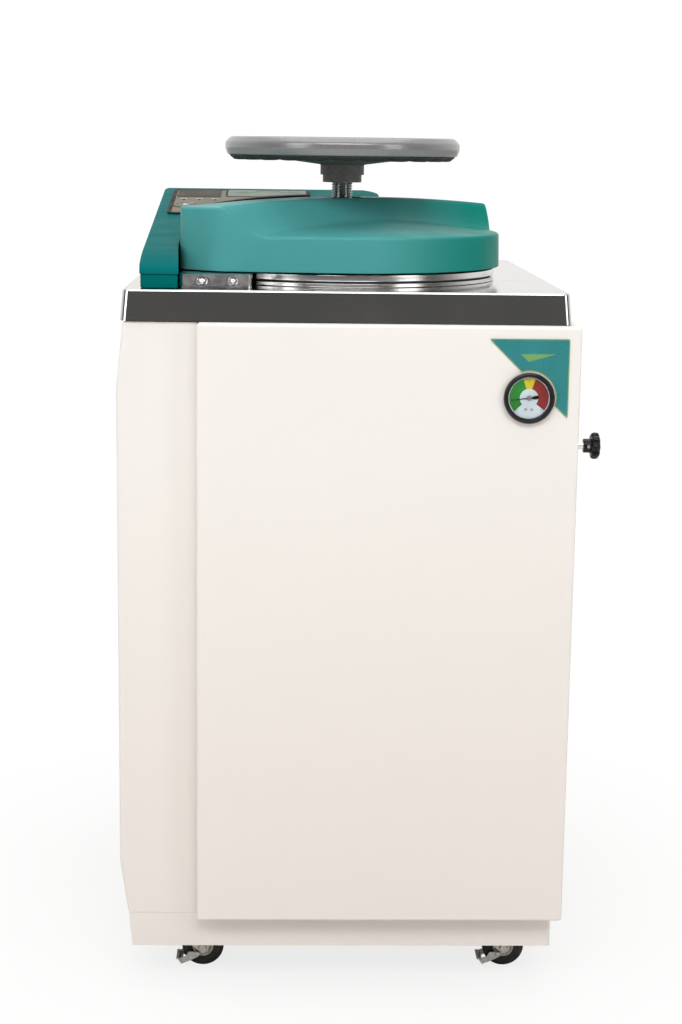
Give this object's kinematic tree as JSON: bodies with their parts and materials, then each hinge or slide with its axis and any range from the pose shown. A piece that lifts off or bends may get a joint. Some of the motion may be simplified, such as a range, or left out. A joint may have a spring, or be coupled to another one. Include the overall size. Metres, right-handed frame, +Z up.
{
  "type": "vertical steam autoclave",
  "caption": "Floor-standing top-loading autoclave on casters: white cabinet, steel top plate, swing lid with handwheel screw, sloping control console and pressure gauge.",
  "frame": {"origin": "on the floor, under the middle of the whole object's bounding box", "axes": "+Z up, +X to the right seen from the front, -Y towards the operator at the front"},
  "size_m": [0.559, 0.701, 1.004],
  "materials": {
    "cabinet_white": "powder coat, semi-matt",
    "stainless": "polished",
    "vessel_steel": "satin",
    "cover_teal": "semi-gloss moulded",
    "console_teal": "semi-gloss moulded",
    "cast_grey": "hammered enamel",
    "chrome": "polished",
    "zinc": "zinc plated",
    "black_plastic": "moulded",
    "gauge_black": "gloss enamel",
    "rubber": "matt",
    "silicone": "matt silicone",
    "brass": "turned",
    "glass": "clear",
    "bezel_brown": "printed film",
    "key_grey": "printed film",
    "display": "tinted window",
    "diagram": "printed film",
    "dial": "printed",
    "wool": "mineral wool blanket",
    "board": "printed circuit board"
  },
  "bodies": {
    "cabinet": {"plinth": "cabinet_white", "left_side_cover": "cabinet_white", "front_panel": "cabinet_white", "right_side_panel": "cabinet_white", "rear_panel": "cabinet_white", "top_plate": "stainless", "pressure_vessel": "vessel_steel", "vessel_flange": "stainless", "insulation_jacket": "wool", "heater_element": "vessel_steel", "heater_guard": "vessel_steel", "basket": "vessel_steel", "hinge_post": "chrome", "latch_block": "chrome", "console_base": "console_teal", "console_shell": "console_teal", "console_bezel": "bezel_brown", "console_display": "display", "diagram_window": "diagram", "control_board": "board", "gauge_case": "gauge_black", "gauge_dial": "dial", "gauge_lens": "glass", "label_plate": "cover_teal", "valve_collar": "chrome", "valve_body": "brass", "exhaust_bottle": "glass", "exhaust_pipe": "stainless", "solenoid_valve": "brass", "safety_valve": "brass", "drain_pipe": "stainless", "drain_valve": "brass", "temperature_probe": "vessel_steel", "cord_gland": "black_plastic", "breaker_body": "black_plastic"},
    "lid_arm": {"lid_crossbar": "cast_grey", "bridge_nut": "brass", "lid_cover": "cover_teal"},
    "lid_closure": {"lid_plate": "stainless", "lid_gasket": "silicone"},
    "closing_screw": {"spindle": "chrome", "handwheel": "cast_grey"},
    "basket_handle": {"basket_bail": "stainless"},
    "exhaust_knob": {"valve_stem": "chrome", "valve_knob": "black_plastic"},
    "gauge_pointer": {"gauge_needle": "gauge_black"},
    "start_button": {"start_key": "key_grey"},
    "safety_pull": {"safety_lever": "stainless"},
    "drain_handle": {"drain_lever": "black_plastic"},
    "power_rocker": {"breaker_rocker": "black_plastic"},
    "swivel_front_left": {"caster_fork_front_left": "zinc"},
    "roll_front_left": {"caster_wheel_front_left": "rubber"},
    "swivel_front_right": {"caster_fork_front_right": "zinc"},
    "roll_front_right": {"caster_wheel_front_right": "rubber"},
    "swivel_rear_left": {"caster_fork_rear_left": "zinc"},
    "roll_rear_left": {"caster_wheel_rear_left": "rubber"},
    "swivel_rear_right": {"caster_fork_rear_right": "zinc"},
    "roll_rear_right": {"caster_wheel_rear_right": "rubber"},
    "brake_pedal_left": {"brake_lever_left": "zinc"},
    "brake_pedal_right": {"brake_lever_right": "zinc"}
  },
  "joints": [
    {"name": "lid_swing", "type": "hinge", "parent": "cabinet", "child": "lid_arm", "pos_m": [0.14163, 0.07178, 0.87], "axis": [0, 0, 1], "range_deg": [0, 110]},
    {"name": "lid_lift", "type": "slide", "parent": "lid_arm", "child": "lid_closure", "axis": [0, 0, 1], "range_m": [0, 0.009]},
    {"name": "handwheel_turn", "type": "hinge", "parent": "lid_closure", "child": "closing_screw", "pos_m": [-0.0191, -0.0755, 0.95], "axis": [0, 0, 1], "range_deg": [0, 1080]},
    {"name": "bail_lift", "type": "hinge", "parent": "cabinet", "child": "basket_handle", "pos_m": [-0.0191, -0.0755, 0.695], "axis": [-1, 0, 0], "range_deg": [0, 90]},
    {"name": "exhaust_knob_turn", "type": "hinge", "parent": "cabinet", "child": "exhaust_knob", "pos_m": [0.2455, -0.2805, 0.6539], "axis": [1, 0, 0], "range_deg": [0, 540]},
    {"name": "gauge_pointer_swing", "type": "hinge", "parent": "cabinet", "child": "gauge_pointer", "pos_m": [0.1875, -0.3465, 0.7175], "axis": [0, 1, 0], "range_deg": [-38, 232]},
    {"name": "start_key_press", "type": "slide", "parent": "cabinet", "child": "start_button", "axis": [0, 0.1421, -0.9898], "range_m": [0, 0.0009]},
    {"name": "safety_lever_lift", "type": "hinge", "parent": "cabinet", "child": "safety_pull", "pos_m": [0.098, 0.1895, 0.7335], "axis": [0, -1, 0], "range_deg": [0, 35]},
    {"name": "drain_lever_turn", "type": "hinge", "parent": "cabinet", "child": "drain_handle", "pos_m": [0.1015, 0.3305, 0.174], "axis": [0, 0, 1], "range_deg": [0, 90]},
    {"name": "power_rocker_tilt", "type": "hinge", "parent": "cabinet", "child": "power_rocker", "pos_m": [-0.1385, 0.3145, 0.7], "axis": [1, 0, 0], "range_deg": [0, 13]},
    {"name": "caster_swivel_front_left", "type": "hinge", "parent": "cabinet", "child": "swivel_front_left", "pos_m": [-0.2035, -0.2575, 0.062], "axis": [0, 0, 1], "continuous": true},
    {"name": "caster_roll_front_left", "type": "hinge", "parent": "swivel_front_left", "child": "roll_front_left", "pos_m": [-0.1835, -0.2575, 0.0255], "axis": [0, 1, 0], "continuous": true},
    {"name": "caster_swivel_front_right", "type": "hinge", "parent": "cabinet", "child": "swivel_front_right", "pos_m": [0.1665, -0.2575, 0.062], "axis": [0, 0, 1], "continuous": true},
    {"name": "caster_roll_front_right", "type": "hinge", "parent": "swivel_front_right", "child": "roll_front_right", "pos_m": [0.1865, -0.2575, 0.0255], "axis": [0, 1, 0], "continuous": true},
    {"name": "caster_swivel_rear_left", "type": "hinge", "parent": "cabinet", "child": "swivel_rear_left", "pos_m": [-0.2035, 0.2565, 0.062], "axis": [0, 0, 1], "continuous": true},
    {"name": "caster_roll_rear_left", "type": "hinge", "parent": "swivel_rear_left", "child": "roll_rear_left", "pos_m": [-0.1835, 0.2565, 0.0255], "axis": [0, 1, 0], "continuous": true},
    {"name": "caster_swivel_rear_right", "type": "hinge", "parent": "cabinet", "child": "swivel_rear_right", "pos_m": [0.1665, 0.2565, 0.062], "axis": [0, 0, 1], "continuous": true},
    {"name": "caster_roll_rear_right", "type": "hinge", "parent": "swivel_rear_right", "child": "roll_rear_right", "pos_m": [0.1865, 0.2565, 0.0255], "axis": [0, 1, 0], "continuous": true},
    {"name": "brake_press_left", "type": "hinge", "parent": "swivel_front_left", "child": "brake_pedal_left", "pos_m": [-0.1905, -0.2575, 0.018], "axis": [0, -1, 0], "range_deg": [0, 8]},
    {"name": "brake_press_right", "type": "hinge", "parent": "swivel_front_right", "child": "brake_pedal_right", "pos_m": [0.1795, -0.2575, 0.018], "axis": [0, -1, 0], "range_deg": [0, 8]}
  ],
  "couplings": [
    {"joint": "lid_lift", "follows": "handwheel_turn", "m_per_rad": 0.000477}
  ]
}
